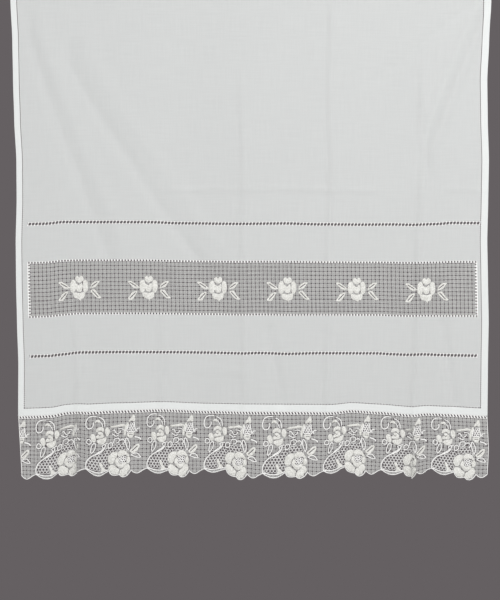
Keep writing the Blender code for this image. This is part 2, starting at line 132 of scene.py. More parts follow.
COMMA_LEAF = [
    (26.5, 109), (29.5, 107), (32.5, 109), (34.5, 115), (38, 119), (41.5, 123), (36.5, 125.5),
    (30.5, 126), (31.5, 121), (29.5, 115.5),
]
SPRIG = [
    (18, 25.5), (19.5, 21), (22.5, 18), (27.5, 17.5), (29, 21), (28, 24.5), (24.5, 23), (21, 23),
]
SIDE_LEAF = [
    (91, 89.5), (90.5, 86), (96.5, 81), (101.5, 75), (108.5, 73), (110.5, 77.5), (107.5, 84.5),
    (102.5, 90.5), (95.5, 93),
]
SIDE_LEAF_VEIN = [(95, 88), (105.5, 78)]
WING_FOOT_VEIN = [(89.5, 53), (96, 53)]
# Areas and places of eyelets
WING_EYELETS = [
    (88.5, 29), (95, 25.5), (99.5, 27.5), (100.5, 35), (102, 43), (99.5, 47), (93.5, 45.5),
    (86.5, 47), (85.5, 42.5), (87, 35.5),
]
ROSE_HEART = [(68, 96), (79, 96), (84, 99), (83.5, 108), (77, 111.5), (71, 111), (67.5, 105)]
ROSE_EYELETS = [
    (70, 100), (75.5, 99), (80.5, 101), (70, 105), (75.5, 104.5), (80, 105.5), (72.5, 109),
    (77.5, 109),
]
LOBE_MESH = [
    (2, 114.5), (5, 105), (12.5, 98), (21.5, 92), (31.5, 89), (35.5, 85), (39, 80), (44, 77.5),
    (48.5, 80.5), (53, 80.5), (57, 77), (60, 74), (69, 72.5), (72.5, 69), (77.5, 73.5),
    (81.5, 79.5), (85, 87), (79.5, 87), (74.5, 84), (66.5, 87), (61, 85.5), (53.5, 87.5), (46, 92),
    (44, 101.5), (44, 107), (48, 114.5), (47.5, 120), (42, 121.5), (36, 117), (32.5, 107.5),
    (26.5, 107), (26.5, 114), (29.5, 120.5), (27.5, 125), (18, 125.5), (10, 124.5), (4, 121),
]
# Cords: whether the line closes, its radius in millimetres, and its points
Cord = namedtuple("Cord", "closed radius points")
LACE_CORDS = [Cord(*row) for row in [
    (False, 1.10, [(15, 23), (15, 29), (11.5, 35), (5.5, 37), (1.5, 34), (0, 27), (1.5, 19.5),
        (4.5, 14), (10, 11), (16, 10), (22, 10.5)]),
    (False, 1.10, [(27, 13), (31.5, 14.5), (35.5, 17.5), (38.5, 23), (39, 28.5), (39, 33)]),
    (False, 0.90, [(28, 20), (31.5, 24.5), (34, 29), (35, 33)]),
    (True, 1.10, [(1.5, 65), (3.5, 60.5), (7, 60), (10.5, 63), (10, 68), (6, 70), (2, 68.5)]),
    (True, 1.00, [(16, 67), (12.5, 71), (10, 79), (9.5, 85), (11, 89), (14.5, 85), (18, 79),
        (19.5, 71.5), (18.5, 67)]),
    (False, 1.00, [(18.5, 91), (25, 85.5), (31.5, 81.5), (35.5, 77), (33, 72.5), (39, 69),
        (44.5, 67.5)]),
    (True, 1.00, [(47.5, 78.5), (45.5, 73), (48, 68), (52.5, 67), (55, 71), (53, 76)]),
    (False, 1.00, [(57, 69), (57.5, 63), (61, 59), (67.5, 59), (69, 63), (67, 67), (62, 69)]),
    (False, 1.00, [(70.5, 63.5), (75, 61.5), (79, 64.5), (79, 69), (76, 72.5)]),
    (False, 1.00, [(55, 42), (59, 41), (61, 45), (64.5, 49), (70, 47), (72.5, 42.5)]),
    (False, 1.00, [(53, 48.5), (57.5, 51), (62, 54.5), (67.5, 52)]),
    (False, 1.00, [(67, 39), (73.5, 39), (78.5, 42)]),
    (False, 1.15, [(88.5, 29), (86, 36), (84.5, 43), (86.5, 47), (93.5, 46), (99.5, 47.5),
        (102, 43), (100.5, 35), (100, 26)]),
    (False, 1.15, [(105.5, 47), (104.5, 43), (106.5, 40), (111.5, 39.5)]),
    (False, 1.50, [(100, 57.5), (106, 59), (111, 61), (113, 64.5)]),
    (True, 1.10, [(82.5, 60), (81.5, 67), (83.5, 76), (87, 85), (89.5, 79.5), (90, 71.5),
        (87.5, 65), (85, 60)]),
    (True, 1.10, [(94, 97), (99, 93.5), (105, 93), (109.5, 97), (112.5, 101.5), (107, 102),
        (100.5, 100)]),
    (False, 1.20, [(47, 123), (42, 124), (35, 126), (27.5, 127.5), (18, 127.5), (10.5, 126),
        (3, 124.5), (0.5, 123), (0, 115), (2, 107), (7, 99.5), (13.5, 94), (20.5, 90),
        (27.5, 86.5), (34.5, 82), (38.5, 76), (40, 70)]),
]]

# The insert's motif, in millimetres from its middle
INSERT_MOTIF = [
    [(-7.5, -20.5), (-6, -24), (-2, -25.5), (0.5, -22.5), (3.5, -25.5), (7.5, -24.5),
     (9.5, -19.5), (7.5, -15), (0.5, -12), (-5.5, -14.5)],
    [(-18.5, -6), (-17, -13), (-13, -17), (-8.5, -15.5), (-6.5, -8), (-7, 1.5), (-10.5, 8),
     (-16, 8), (-18.5, 1.5)],
    [(9.5, -15), (16, -16), (18.5, -9.5), (18.5, 1.5), (14, 9), (9.5, 6), (8.5, -4)],
    [(-5.5, -9), (0, -6), (5.5, -10.5), (7.5, -4), (5.5, 4.5), (0.5, 8), (-5, 4.5), (-7, -3.5)],
    [(-12, 10), (-5.5, 9.5), (0, 11), (5.5, 9.5), (11, 9), (11, 16.5), (8.5, 21.5), (4, 22.5),
     (2, 26.5), (-2, 22.5), (-8, 21), (-11.5, 16.5)],
]
PETAL_GROWTH = 1.04
INSERT_LEAVES = [
    [(-43.5, -13), (-40.5, -15.5), (-35, -14.5), (-29, -10.5), (-23.5, -6), (-19, -1), (-27, 0.5),
     (-33.5, -2), (-38.5, -8)],
    [(-24, 6.5), (-29.5, 7), (-36, 10.5), (-40, 17), (-44.5, 23), (-40.5, 25), (-34, 24.5),
     (-29.5, 18), (-26, 12.5)],
    [(23.5, 0.5), (25, -5.5), (29, -11), (34.5, -14.5), (43.5, -15), (40, -9), (35, -2.5),
     (28.5, -1)],
    [(24, 5), (28.5, 3), (34, 3.5), (38, 9.5), (42, 15), (47, 21), (38.5, 21.5), (31.5, 15.5),
     (26, 9.5)],
]
INSERT_VEINS = [
    [(-38, -11.5), (-26, -4)], [(-28, 10), (-38.5, 21)], [(27, -4), (37.5, -11.5)],
    [(28.5, 6), (39.5, 18)],
]

# The sides of the drape: drop, left and right
SIDES = [
    (0.000, -0.5125, 0.5130), (0.085, -0.5080, 0.5110), (0.170, -0.5040, 0.5070),
    (0.254, -0.5025, 0.5030), (0.339, -0.5000, 0.5040), (0.424, -0.4955, 0.5065),
    (0.509, -0.4950, 0.5050), (0.594, -0.4970, 0.5030), (0.678, -0.4963, 0.5045),
    (0.763, -0.4943, 0.5060), (0.848, -0.4915, 0.5045), (0.956, -0.4920, 0.5035),
    (1.030, -0.4920, 0.5065), (1.097, -0.4920, 0.5035),
]
# How far the cloth sinks across the width, in millimetres: at both drawn-thread rows, at
# the hem, and at the lace's foot beyond that
FIRST_ROW_SINKS = [
    (-500, 2.5), (-435, 1.0), (-400, -2.5), (-212, -2.0), (-148, 0.0), (-21, 1.5), (74, 0.5),
    (138, 2.5), (233, 3.0), (297, 2.5), (345, 3.5), (392, 2.0), (424, -0.5), (500, 0.0),
]
SECOND_ROW_SINKS = [
    (-500, 7.5), (-435, 5.5), (-403, 2.0), (-371, -2.0), (-276, -3.0), (-180, -2.5), (-85, -1.5),
    (-21, 0.0), (10, -1.0), (74, 1.0), (138, -0.5), (265, 0.0), (297, 2.0), (328, 3.0),
    (360, 2.0), (424, 4.0), (500, 5.0),
]
HEM_SINKS = [
    (-500, 11.0), (-454, 9.5), (-428, 8.0), (-394, 1.5), (-372, 0.5), (-350, 1.5), (-297, -1.5),
    (-195, -4.5), (-106, -0.5), (25, 1.0), (102, 1.5), (170, 2.0), (210, -2.5), (271, 1.5),
    (339, 7.0), (371, 4.0), (413, 5.5), (500, 10.5),
]
FOOT_SINKS = [
    (-500, -3.0), (-428, 2.0), (-394, -3.5), (-372, -8.5), (-325, 4.5), (-255, -2.5), (-174, 4.0),
    (-127, -1.5), (-97, -2.0), (-72, -5.5), (-34, 3.5), (-15, 3.0), (17, 6.5), (55, 7.0),
    (85, 2.0), (106, -1.5), (148, 1.0), (187, -8.5), (220, -2.0), (271, -2.0), (322, -3.0),
    (339, -5.0), (371, -10.5), (413, -4.5), (435, -1.5), (460, -4.5), (500, -5.5),
]
Fold = namedtuple("Fold", "start_side start_along end_side end_along bow half_width height")
# Folds that run down: tension folds and short ones, the lace's own at its tucks, and the
# press creases
FOLDS_DOWN = [Fold(*row) for row in [
    (-0.466, 0.159, -0.307, 0.625, -0.006, 0.014, -0.0028),
    (-0.440, 0.150, -0.275, 0.600, -0.006, 0.018, 0.0022),
    (-0.382, 0.223, -0.117, 0.630, -0.010, 0.016, -0.0038),
    (-0.345, 0.200, -0.080, 0.600, -0.010, 0.022, 0.0024),
    (0.513, 0.060, 0.384, 0.400, 0.000, 0.012, 0.0040),
    (0.487, 0.060, 0.358, 0.400, 0.000, 0.012, -0.0044),
    (0.445, 0.106, 0.276, 0.244, 0.000, 0.016, -0.0026),
    (0.034, 0.790, 0.060, 0.930, 0.000, 0.010, -0.0042),
    (0.403, 0.774, 0.428, 0.933, 0.000, 0.010, -0.0044),
    (-0.3735, 0.990, -0.3735, 1.080, 0.000, 0.008, 0.0065),
    (0.3378, 0.990, 0.3378, 1.080, 0.000, 0.008, 0.0065),
    (-0.375, 0.780, -0.372, 0.945, 0.000, 0.006, 0.0032),
    (-0.194, 0.760, -0.194, 0.945, 0.000, 0.005, 0.0028),
    (-0.019, 0.340, -0.018, 0.945, 0.000, 0.005, 0.0028),
    (0.170, 0.160, 0.156, 0.945, 0.002, 0.005, 0.0036),
    (0.362, 0.300, 0.342, 0.945, 0.002, 0.005, 0.0036),
]]
FOLDS_ACROSS = [
    Fold(0.487, -0.140, 0.486, 0.235, -0.002, 0.005, 0.0020),
    Fold(0.486, 0.415, 0.489, 0.490, 0.000, 0.005, 0.0016),
    Fold(0.873, -0.110, 0.872, -0.020, 0.000, 0.008, 0.0012),
]
FOLD_FADE = 0.22
Wave = namedtuple("Wave", "length height start")
CLOTH_WAVES = [Wave(0.370, 0.0034, 0.6), Wave(0.213, 0.0022, 2.1)]
LACE_WAVES = [Wave(0.094, 0.0026, 1.0)]
WAVES_AT_HEAD = 0.30

# The cloth: real thickness, the gap between its layers, and the steps that follow folds
VOILE_THICK = 0.00035
LAYER_GAP = 0.0007
CLOTH_STEP = 0.0053
THREAD_STEP = 0.0055
# Points nearer than this to a line are on it, and lines of a grid nearer than this share of
# a step to a given line are left out
NEAR = 1e-5
LINE_CLEAR = 0.45
# The slit along each hem, and the stitches across it, which hold on to both its edges
SLIT = 0.0017
STITCH_HOLD = 0.0016
STITCH_PROUD = 0.0002
HEM_STITCH_PITCH = 0.0042
FOOT_STITCH_PITCH = 0.0032
HEM_STITCH_RADIUS = 0.00036
# The drawn-thread rows' bundles, which keep these shares of their width towards the waist
BAR_RADIUS = 0.00135
BAR_FLATNESS = 0.50
BAR_LEAN = 0.0022
BAR_HOLD = 0.0008
BAR_WAIST = [0.80, 0.84, 0.92]
LADDER_EDGE_RADIUS = 0.0003

# The square nets: a wide gap and then three threads, both ways
NET_PITCH = 0.0085
NET_THREADS = [0.0032, 0.0052, 0.0073]
NET_RADIUS = 0.00046
NET_BEHIND = 1.6 * NET_RADIUS
NET_UNEVEN = 0.00016
NET_WANDER = 95.0
INSERT_NET_STEP = 0.0048
# The net stays this far from the lace's cords and from its scalloped foot
CORD_CLEAR = 0.0023
NET_SHORT = 0.0004
# Solid stitching: its thickness, its raised middle, the waves that stitches leave at its
# edge, and its open veins
PAD_THICK = 0.0011
PAD_CROWN = 0.0006
PAD_INSET = 0.0009
SPRIG_INSET = 0.0006
STITCH_WAVE = 0.00022
STITCH_WAVE_PITCH = 0.0030
VEIN_HALF_WIDTH = 0.0009
VEIN_INSET = 0.00005
# Cords along the scallops and the ends, and eyelets: pitch, fall, radius and wall of those
# in areas, and width, height and wall of those in a rose
RIM_RADIUS = 0.0009
END_RADIUS = 0.0008
END_HEAD = 0.5
END_POINTS = 30
LOBE_RINGS = (0.0069, 0.0057, 0.0033, 0.00046)
WING_RINGS = (0.0054, 0.0045, 0.0024, 0.00065)
ROSE_RING = (0.0025, 0.0023, 0.00080)
EYELET_FLATNESS = 0.6
# The strips with a row of holes at the lace's head and round the insert: the holes' pitch
# and their share of it, and the lines that bound the strips and their holes
STRIP_THICK = 0.0009
HOLE_PITCH = 0.0064
HOLE_SHARE = 0.56
HEADING_LINES = [0.0, 0.0008, 0.0056, 0.0062]
HEADING_SLANT = 0.0022
BORDER_LINES = [0.0, 0.0004, 0.0038, 0.0042]
SIDE_BORDER_LINES = [0.0, 0.0018, 0.0050, 0.0054]

# How much of the light one wall of the cloth stops, single and in a hem
VOILE_COVER = 0.42
HEM_COVER = 0.72
HEM_REACH = 0.0001
THREADS_A_METRE = 2400.0
VOILE_COLOUR = (0.888, 0.906, 0.898, 1.0)
# Its uneven threads: how long and how fine they are, and how much denser than the cloth
SLUB_LONG = 18.0
SLUB_FINE = 480.0
SLUB_DENSITY = 0.015
VOILE_THIN = (0.880, 0.899, 0.891, 1.0)
VOILE_THICKER = (0.896, 0.913, 0.905, 1.0)
# Cotton: its colour, the light and dark of its mottle, the mottle's stitches a metre, and
# the strength and height of its bump; the mottle is uneven tone, and its dark is painted shade where
# the bump is low
Cotton = namedtuple("Cotton", "colour light dark stitches strength height")
LACE_COTTON = Cotton(
    (0.94, 0.935, 0.92, 1.0), (0.94, 0.935, 0.92, 1.0), (0.84, 0.835, 0.82, 1.0), 900.0, 0.3, 0.0002,
)
NET_COTTON = Cotton(
    (0.69, 0.69, 0.675, 1.0), (0.69, 0.69, 0.675, 1.0), (0.57, 0.57, 0.555, 1.0), 900.0, 0.3, 0.0002,
)
# The worked stitching is darker than the same cotton in the cords: painted shade, offsetting the strong
# light on its flat front-facing pads
WORKED_COTTON = Cotton(
    (0.70, 0.69, 0.65, 1.0), (0.84, 0.835, 0.80, 1.0), (0.62, 0.61, 0.575, 1.0), 420.0, 0.8, 0.0006,
)
SMOOTH_BELOW = math.radians(50.0)

PHOTO_MM_PER_PIXEL = 2.12
PHOTO_TALL = 600
# The photo's upper edge lies this far below the curtain's top
PHOTO_HEAD_DROP = 0.085
CAMERA_AWAY = 3.2
FLOOR_DROP = 1.9
FLOOR_SIZE = (3.0, 2.2, 1.0)
FLOOR_COLOUR = (0.75, 0.75, 0.74, 1.0)
BACKDROP = (101, 96, 98)
SOFT_LIGHT = 0.55
LIGHTS_AIM = (0.0, 0.0, -0.6)


def soft_step(t):
    t = np.clip(t, 0.0, 1.0)
    return t * t * (3.0 - 2.0 * t)


def between(pairs, at):
    """The value of a table at some places, read between its rows with soft steps."""
    keys, values = np.array(pairs, dtype=float).T
    at = np.clip(at, keys[0], keys[-1])
    low = np.clip(np.searchsorted(keys, at, side="right") - 1, 0, len(keys) - 2)
    share = (at - keys[low]) / (keys[low + 1] - keys[low])
    return values[low] + (values[low + 1] - values[low]) * (0.5 * share + 0.5 * soft_step(share))


def fold_relief(fold, side, along):
    """How far one fold stands forward at a point."""
    t = (along - fold.start_along) / (fold.end_along - fold.start_along)
    on_line = np.clip(t, 0.0, 1.0)
    middle = fold.start_side + (fold.end_side - fold.start_side) * on_line
    middle = middle + fold.bow * 4.0 * on_line * (1.0 - on_line)
    ends = soft_step((t + FOLD_FADE) / FOLD_FADE) * soft_step((1.0 + FOLD_FADE - t) / FOLD_FADE)
    return fold.height * ends * np.exp(-(((side - middle) / fold.half_width) ** 2))


def wave_relief(waves, across):
    return sum(wave.height * np.sin(math.tau * across / wave.length + wave.start) for wave in waves)


def relief(across, drop):
    """How far the cloth stands forward of its hanging plane."""
    down = np.clip(drop / VOILE_DROP, 0.0, 1.0)
    in_lace = np.clip((drop - VOILE_DROP) / LACE_DEPTH, 0.0, 1.0)
    forward = (WAVES_AT_HEAD + (1.0 - WAVES_AT_HEAD) * down) * wave_relief(CLOTH_WAVES, across)
    forward = forward + in_lace * wave_relief(LACE_WAVES, across)
    for fold in FOLDS_DOWN:
        forward = forward + fold_relief(fold, across, drop)
    for fold in FOLDS_ACROSS:
        forward = forward + fold_relief(fold, drop, across)
    return forward


def sunk(across, drop):
    """How far a point of the flat cloth sinks below its drop."""
    stops = [0.0, LADDER_ROWS[0].drop, LADDER_ROWS[1].drop, VOILE_DROP]
    tables = [FIRST_ROW_SINKS, SECOND_ROW_SINKS, HEM_SINKS]
    at_stops = [0.0] + [between(table, across / MM) for table in tables]
    sink = 0.0
    for head, foot, start, end in zip(stops, stops[1:], at_stops, at_stops[1:]):
        sink = sink + (end - start) * np.clip((drop - head) / (foot - head), 0.0, 1.0)
    in_lace = np.clip((drop - VOILE_DROP) / LACE_DEPTH, 0.0, 1.0)
    return (sink + in_lace * between(FOOT_SINKS, across / MM)) * MM


def hung(across, drop):
    """The place in the drape of a point of the flat cloth."""
    drops, lefts, rights = zip(*SIDES)
    left, right = [between(list(zip(drops, side)), drop) for side in (lefts, rights)]
    x = left + (right - left) * (across / WIDTH + 0.5)
    return x, -relief(across, drop), -(drop + sunk(across, drop))


def hung_with_front(across, drop):
    """The hung points and the directions in which their fronts face."""
    nudge = 0.0005
    here = np.stack(hung(across, drop), axis=1)
    beside = np.stack(hung(across + nudge, drop), axis=1) - here
    below = np.stack(hung(across, drop + nudge), axis=1) - here
    front = np.cross(beside, -below)
    front = front / np.linalg.norm(front, axis=1)[:, None]
    return here, front * np.where(front[:, 1:2] > 0.0, -1.0, 1.0)


def read(parts, what, width, kind=float):
    """One value, or a row of a few, for each of a mesh's parts."""
    values = np.empty(width * len(parts), dtype=kind)
    parts.foreach_get(what, values)
    return values.reshape(-1, width)


def points_of(piece):
    return read(piece.data.vertices, "co", 3)


def set_points(piece, points):
    piece.data.vertices.foreach_set("co", np.ascontiguousarray(points, dtype=np.float64).ravel())
    piece.data.update()


def keep_lengths(piece):
    """Keep a flat piece's own lengths as its UV map."""
    flat = points_of(piece)
    layer = piece.data.uv_layers.active or piece.data.uv_layers.new(name="flat")
    layer.name = "flat"
    corners = read(piece.data.loops, "vertex_index", 1, np.int32)[:, 0]
    layer.data.foreach_set("uv", np.stack([flat[corners, 0], -flat[corners, 2]], axis=1).ravel())


def hang(piece):
    """Move a flat piece onto the drape."""
    keep_lengths(piece)
    flat = points_of(piece)
    here, front = hung_with_front(flat[:, 0], -flat[:, 2])
    set_points(piece, here - front * flat[:, 1:2])
    return piece


def hang_lace(piece):
    """Lay a piece of the edging along the lace's length, take up the tucks, and hang it."""
    keep_lengths(piece)
    flat = points_of(piece)
    along, drop = flat[:, 0], -flat[:, 2]
    here, front = hung_with_front(np.interp(along, *zip(*LAYS)), drop + LACE_HEAD)
    opened = TUCK_AT_HEAD + (1.0 - TUCK_AT_HEAD) * soft_step(drop / TUCK_OPENS_IN)
    for tuck in TUCKS:
        share = np.clip((along - tuck.start) / (tuck.end - tuck.start), 0.0, 1.0)
        here[:, 1] -= tuck.height * (1.0 - np.abs(2.0 * share - 1.0)) * opened
    set_points(piece, here - front * flat[:, 1:2])
    return piece


def only(piece):
    """Deselect all, and make one piece the one that is worked on."""
    bpy.ops.object.select_all(action="DESELECT")
    piece.select_set(True)
    bpy.context.view_layer.objects.active = piece


def repeated(piece, count, step):
    """Count copies of a piece in a row, one step apart."""
    return applied(
        piece, "ARRAY", count=count, use_relative_offset=False,
        use_constant_offset=True, constant_offset_displace=step,
    )


def applied(piece, kind, **settings):
    only(piece)
    modifier = piece.modifiers.new(kind.title(), kind)
    for name, value in settings.items():
        setattr(modifier, name, value)
    bpy.ops.object.modifier_apply(modifier=modifier.name)
    return piece


def joined(name, pieces):
    bpy.ops.object.select_all(action="DESELECT")
    for piece in pieces:
        piece.select_set(True)
    bpy.context.view_layer.objects.active = pieces[0]
    bpy.ops.object.join()
    pieces[0].name = name
    return pieces[0]


def bare(piece):
    """Set a new primitive's object at the origin, with its place kept in its mesh."""
    only(piece)
    bpy.ops.object.transform_apply(location=True, rotation=True, scale=True)
    return piece


def edit(piece, action="SELECT", kind="FACE"):
    """Enter edit mode on one piece, with all or none of it selected."""
    only(piece)
    bpy.ops.object.mode_set(mode="EDIT")
    bpy.ops.mesh.select_mode(type=kind)
    bpy.ops.mesh.select_all(action=action)


def edited(piece, outwards=False):
    """Leave edit mode, with the faces turned outwards first where that is asked."""
    if outwards:
        bpy.ops.mesh.select_all(action="SELECT")
        bpy.ops.mesh.normals_make_consistent(inside=False)
    bpy.ops.object.mode_set(mode="OBJECT")
    return piece


def choose(piece, kind, parts, chosen):
    """Enter edit mode with the faces or edges selected that a yes-or-no list chooses."""
    edit(piece, "DESELECT", kind)
    bpy.ops.object.mode_set(mode="OBJECT")
    parts.foreach_set("select", chosen)
    bpy.ops.object.mode_set(mode="EDIT")


def extrude(*step):
    bpy.ops.mesh.extrude_region_move(TRANSFORM_OT_translate={"value": step})


def face_middles(piece):
    return read(piece.data.polygons, "center", 3)


def delete_faces(piece, chosen):
    """Delete the faces that a yes-or-no list chooses."""
    choose(piece, "FACE", piece.data.polygons, chosen)
    bpy.ops.mesh.delete(type="FACE")
    edited(piece)


def with_lines(start, end, step, lines):
    """Even places from start to end, with given lines kept exact and their neighbours cleared."""
    count = round((end - start) / step)
    even = [start + (end - start) * index / count for index in range(count + 1)]
    clear = LINE_CLEAR * step
    kept = [place for place in even[1:-1] if all(abs(place - line) > clear for line in lines)]
    return sorted([start, end] + kept + lines)


def flat_grid(name, columns, rows):
    """A grid whose lines lie at the given columns and rows."""
    wide, tall = len(columns) - 1, len(rows) - 1
    bpy.ops.mesh.primitive_grid_add(x_subdivisions=wide, y_subdivisions=tall, size=1.0)
    grid = bpy.context.object
    grid.name = name
    points = points_of(grid)
    across = np.array(columns)[np.rint((points[:, 0] + 0.5) * wide).astype(int)]
    drop = np.array(rows)[np.rint((0.5 - points[:, 1]) * tall).astype(int)]
    set_points(grid, np.stack([across, np.zeros(len(across)), -drop], axis=1))
    return grid


def turn_hem(cloth, axis, line, back, run, steps):
    """Fold the cloth at an edge: a short step to the back, then the hem's inner layer."""
    points = points_of(cloth)
    on_edge = (np.abs(points[:, axis] - line) < NEAR) & (np.abs(points[:, 1]) < NEAR)
    ends = read(cloth.data.edges, "vertices", 2, np.int32)
    choose(cloth, "EDGE", cloth.data.edges, on_edge[ends].all(axis=1))
    extrude(0.0, back, 0.0)
    for _ in range(steps):
        extrude(*[length / steps for length in run])
    edited(cloth)


def voile_cloth():
    """The cloth, with its window, drawn-thread slits and rows, and turned hems."""
    columns = with_lines(-HALF, HALF, CLOTH_STEP, [
        FIELD_LEFT, FIELD_LEFT + SLIT, FIELD_RIGHT - SLIT, FIELD_RIGHT, WINDOW_LEFT, WINDOW_RIGHT,
    ])
    rows = with_lines(0.0, VOILE_DROP, CLOTH_STEP, [
        TOP_HEM, TOP_HEM + SLIT, FIELD_FOOT - SLIT, FIELD_FOOT, WINDOW_HEAD, WINDOW_FOOT,
    ] + [row.drop + half for row in LADDER_ROWS for half in (-LADDER_TALL / 2.0, LADDER_TALL / 2.0)])
    cloth = flat_grid("voile_cloth", columns, rows)
    middles = face_middles(cloth)
    across, drop = middles[:, 0], -middles[:, 2]

    def inside(left, right, head, foot):
        return (across > left) & (across < right) & (drop > head) & (drop < foot)

    cut = inside(FIELD_LEFT, FIELD_RIGHT, TOP_HEM, FIELD_FOOT)
    cut &= ~inside(FIELD_LEFT + SLIT, FIELD_RIGHT - SLIT, TOP_HEM + SLIT, FIELD_FOOT - SLIT)
    cut |= inside(WINDOW_LEFT, WINDOW_RIGHT, WINDOW_HEAD, WINDOW_FOOT)
    for row in LADDER_ROWS:
        cut |= inside(row.left, row.right, row.drop - LADDER_TALL / 2.0, row.drop + LADDER_TALL / 2.0)
    delete_faces(cloth, cut)
    for axis, line, back, run, steps in (
        (0, -HALF, LAYER_GAP, (LEFT_HEM, 0.0, 0.0), 3),
        (0, HALF, LAYER_GAP, (-RIGHT_HEM, 0.0, 0.0), 3),
        (2, -VOILE_DROP, 2.0 * LAYER_GAP, (0.0, 0.0, FOOT_HEM), 4),
        (2, 0.0, 2.0 * LAYER_GAP, (0.0, 0.0, -TOP_HEM), 5),
    ):
        turn_hem(cloth, axis, line, back, run, steps)
    return hang(applied(cloth, "SOLIDIFY", thickness=VOILE_THICK, offset=0.0))


def thread(start, direction, length, radius, sides=3, step=THREAD_STEP):
    """A straight thread of flat work from start, across or down, in steps that can follow folds."""
    turn = (0.0, math.pi / 2.0, 0.0) if direction == ACROSS else (0.0, 0.0, 0.0)
    bpy.ops.mesh.primitive_circle_add(
        vertices=sides, radius=radius, fill_type="NGON", location=start, rotation=turn
    )
    piece = bare(bpy.context.object)
    edit(piece)
    steps = max(1, round(length / step))
    for _ in range(steps):
        extrude(*[part * length / steps for part in direction])
    return edited(piece, outwards=True)


def unevenly(piece, count, direction, seed):
    """Set each thread of a row a little off its place, and let it wander along its length."""
    draw = np.random.default_rng(seed)
    points = points_of(piece)
    index = np.arange(len(points)) // (len(points) // count)
    forth, sideways = (0, 2) if direction == ACROSS else (2, 0)
    offset = draw.normal(0.0, NET_UNEVEN, count)[index]
    phase = draw.uniform(0.0, math.tau, count)[index]
    points[:, sideways] += offset + NET_UNEVEN * np.sin(points[:, forth] * NET_WANDER + phase)
    set_points(piece, points)


def square_net(left, right, head, foot, seed, step):
    """The rows of threads of a net, across and down, with those down behind."""
    rows = []
    for shift in NET_THREADS:
        for direction, start, length, reach, move in (
            (ACROSS, (left, 0.0, -(head + shift)), right - left, foot - head, (0.0, 0.0, -NET_PITCH)),
            (DOWN, (left + shift, NET_BEHIND, -head), foot - head, right - left, (NET_PITCH, 0.0, 0.0)),
        ):
            count = int((reach - shift) / NET_PITCH) + 1
            line = repeated(thread(start, direction, length, NET_RADIUS, step=step), count, move)
            unevenly(line, count, direction, seed if direction == ACROSS else seed + 1)
            rows.append(line)
    return rows


def hole_ends(start, end):
    """Where a row of even holes starts and ends them, with the row's own two ends."""
    count = round((end - start) / HOLE_PITCH)
    pitch = (end - start) / count
    middles = [start + (index + 0.5) * pitch for index in range(count)]
    half = HOLE_SHARE * pitch / 2.0
    edges = [edge for middle in middles for edge in (middle - half, middle + half)]
    return [start] + edges + [end]


def strip(name, columns, rows, slant=0.0):
    """A flat strip with a hole in each odd column of its odd rows."""
    piece = flat_grid(name, columns, rows)
    middles = face_middles(piece)
    column = np.searchsorted(columns, middles[:, 0]) - 1
    row = np.searchsorted(rows, -middles[:, 2]) - 1
    delete_faces(piece, (column % 2 == 1) & (row % 2 == 1))
    points = points_of(piece)
    points[:, 0] += slant * np.where(-points[:, 2] > (rows[0] + rows[-1]) / 2.0, 0.5, -0.5)
    set_points(piece, points)
    return applied(piece, "SOLIDIFY", thickness=STRIP_THICK, offset=0.0)


def insert_border():
    """The holed strips round the insert."""
    name = "insert_border"
    across = hole_ends(WINDOW_LEFT, WINDOW_RIGHT)
    down = hole_ends(WINDOW_HEAD + BORDER_LINES[-1], WINDOW_FOOT - BORDER_LINES[-1])
    return hang(joined(name, [
        strip(name, across, [WINDOW_HEAD + line for line in BORDER_LINES]),
        strip(name, across, [WINDOW_FOOT - line for line in reversed(BORDER_LINES)]),
        strip(name, [WINDOW_LEFT + line for line in SIDE_BORDER_LINES], down),
        strip(name, [WINDOW_RIGHT - line for line in reversed(SIDE_BORDER_LINES)], down),
    ]))


def hem_stitches():
    """The bars that cross the slit along each hem."""
    reach = SLIT + STITCH_HOLD
    tall = FIELD_FOOT - TOP_HEM - 2.0 * SLIT
    wide = FIELD_RIGHT - FIELD_LEFT - 4.0 * SLIT
    rows = []
    for middle in (FIELD_LEFT + SLIT / 2.0, FIELD_RIGHT - SLIT / 2.0):
        start = (middle - reach / 2.0, -STITCH_PROUD, -(TOP_HEM + SLIT))
        bar = thread(start, ACROSS, reach, HEM_STITCH_RADIUS, sides=4)
        rows.append(repeated(bar, round(tall / HEM_STITCH_PITCH), (0.0, 0.0, -HEM_STITCH_PITCH)))
    for middle in (TOP_HEM + SLIT / 2.0, FIELD_FOOT - SLIT / 2.0):
        start = (FIELD_LEFT + 2.0 * SLIT, -STITCH_PROUD, -(middle - reach / 2.0))
        bar = thread(start, DOWN, reach, HEM_STITCH_RADIUS, sides=4)
        rows.append(repeated(bar, round(wide / FOOT_STITCH_PITCH), (FOOT_STITCH_PITCH, 0.0, 0.0)))
    return hang(joined("hem_stitches", rows))


def ladder_bar(row):
    """One bundle of threads, drawn together at its waist and leaning a little."""
    bpy.ops.mesh.primitive_circle_add(
        vertices=8, radius=BAR_RADIUS, fill_type="NGON",
        location=(row.left - BAR_LEAN / 2.0, 0.0, -(row.drop + LADDER_TALL / 2.0 + BAR_HOLD)),
    )
    bar = bpy.context.object
    bar.scale = (1.0, BAR_FLATNESS, 1.0)
    edit(bare(bar))
    shares = BAR_WAIST + [1.0 / share for share in reversed(BAR_WAIST)]
    tall = LADDER_TALL + 2.0 * BAR_HOLD
    for share in shares:
        extrude(BAR_LEAN / len(shares), 0.0, tall / len(shares))
        bpy.ops.transform.resize(value=(share, share, 1.0))
    return edited(bar, outwards=True)


def ladder_rows():
    """The bundles of both drawn-thread rows, and the stitched threads along their edges."""
    rows = []
    for row in LADDER_ROWS:
        wide = row.right - row.left
        rows.append(repeated(ladder_bar(row), round(wide / LADDER_PITCH) + 1, (LADDER_PITCH, 0.0, 0.0)))
        for edge in (row.drop - LADDER_TALL / 2.0, row.drop + LADDER_TALL / 2.0):
            start = (row.left, -LADDER_EDGE_RADIUS, -edge)
            rows.append(thread(start, ACROSS, wide, LADDER_EDGE_RADIUS, sides=4))
    return hang(joined("ladder_bars", rows))


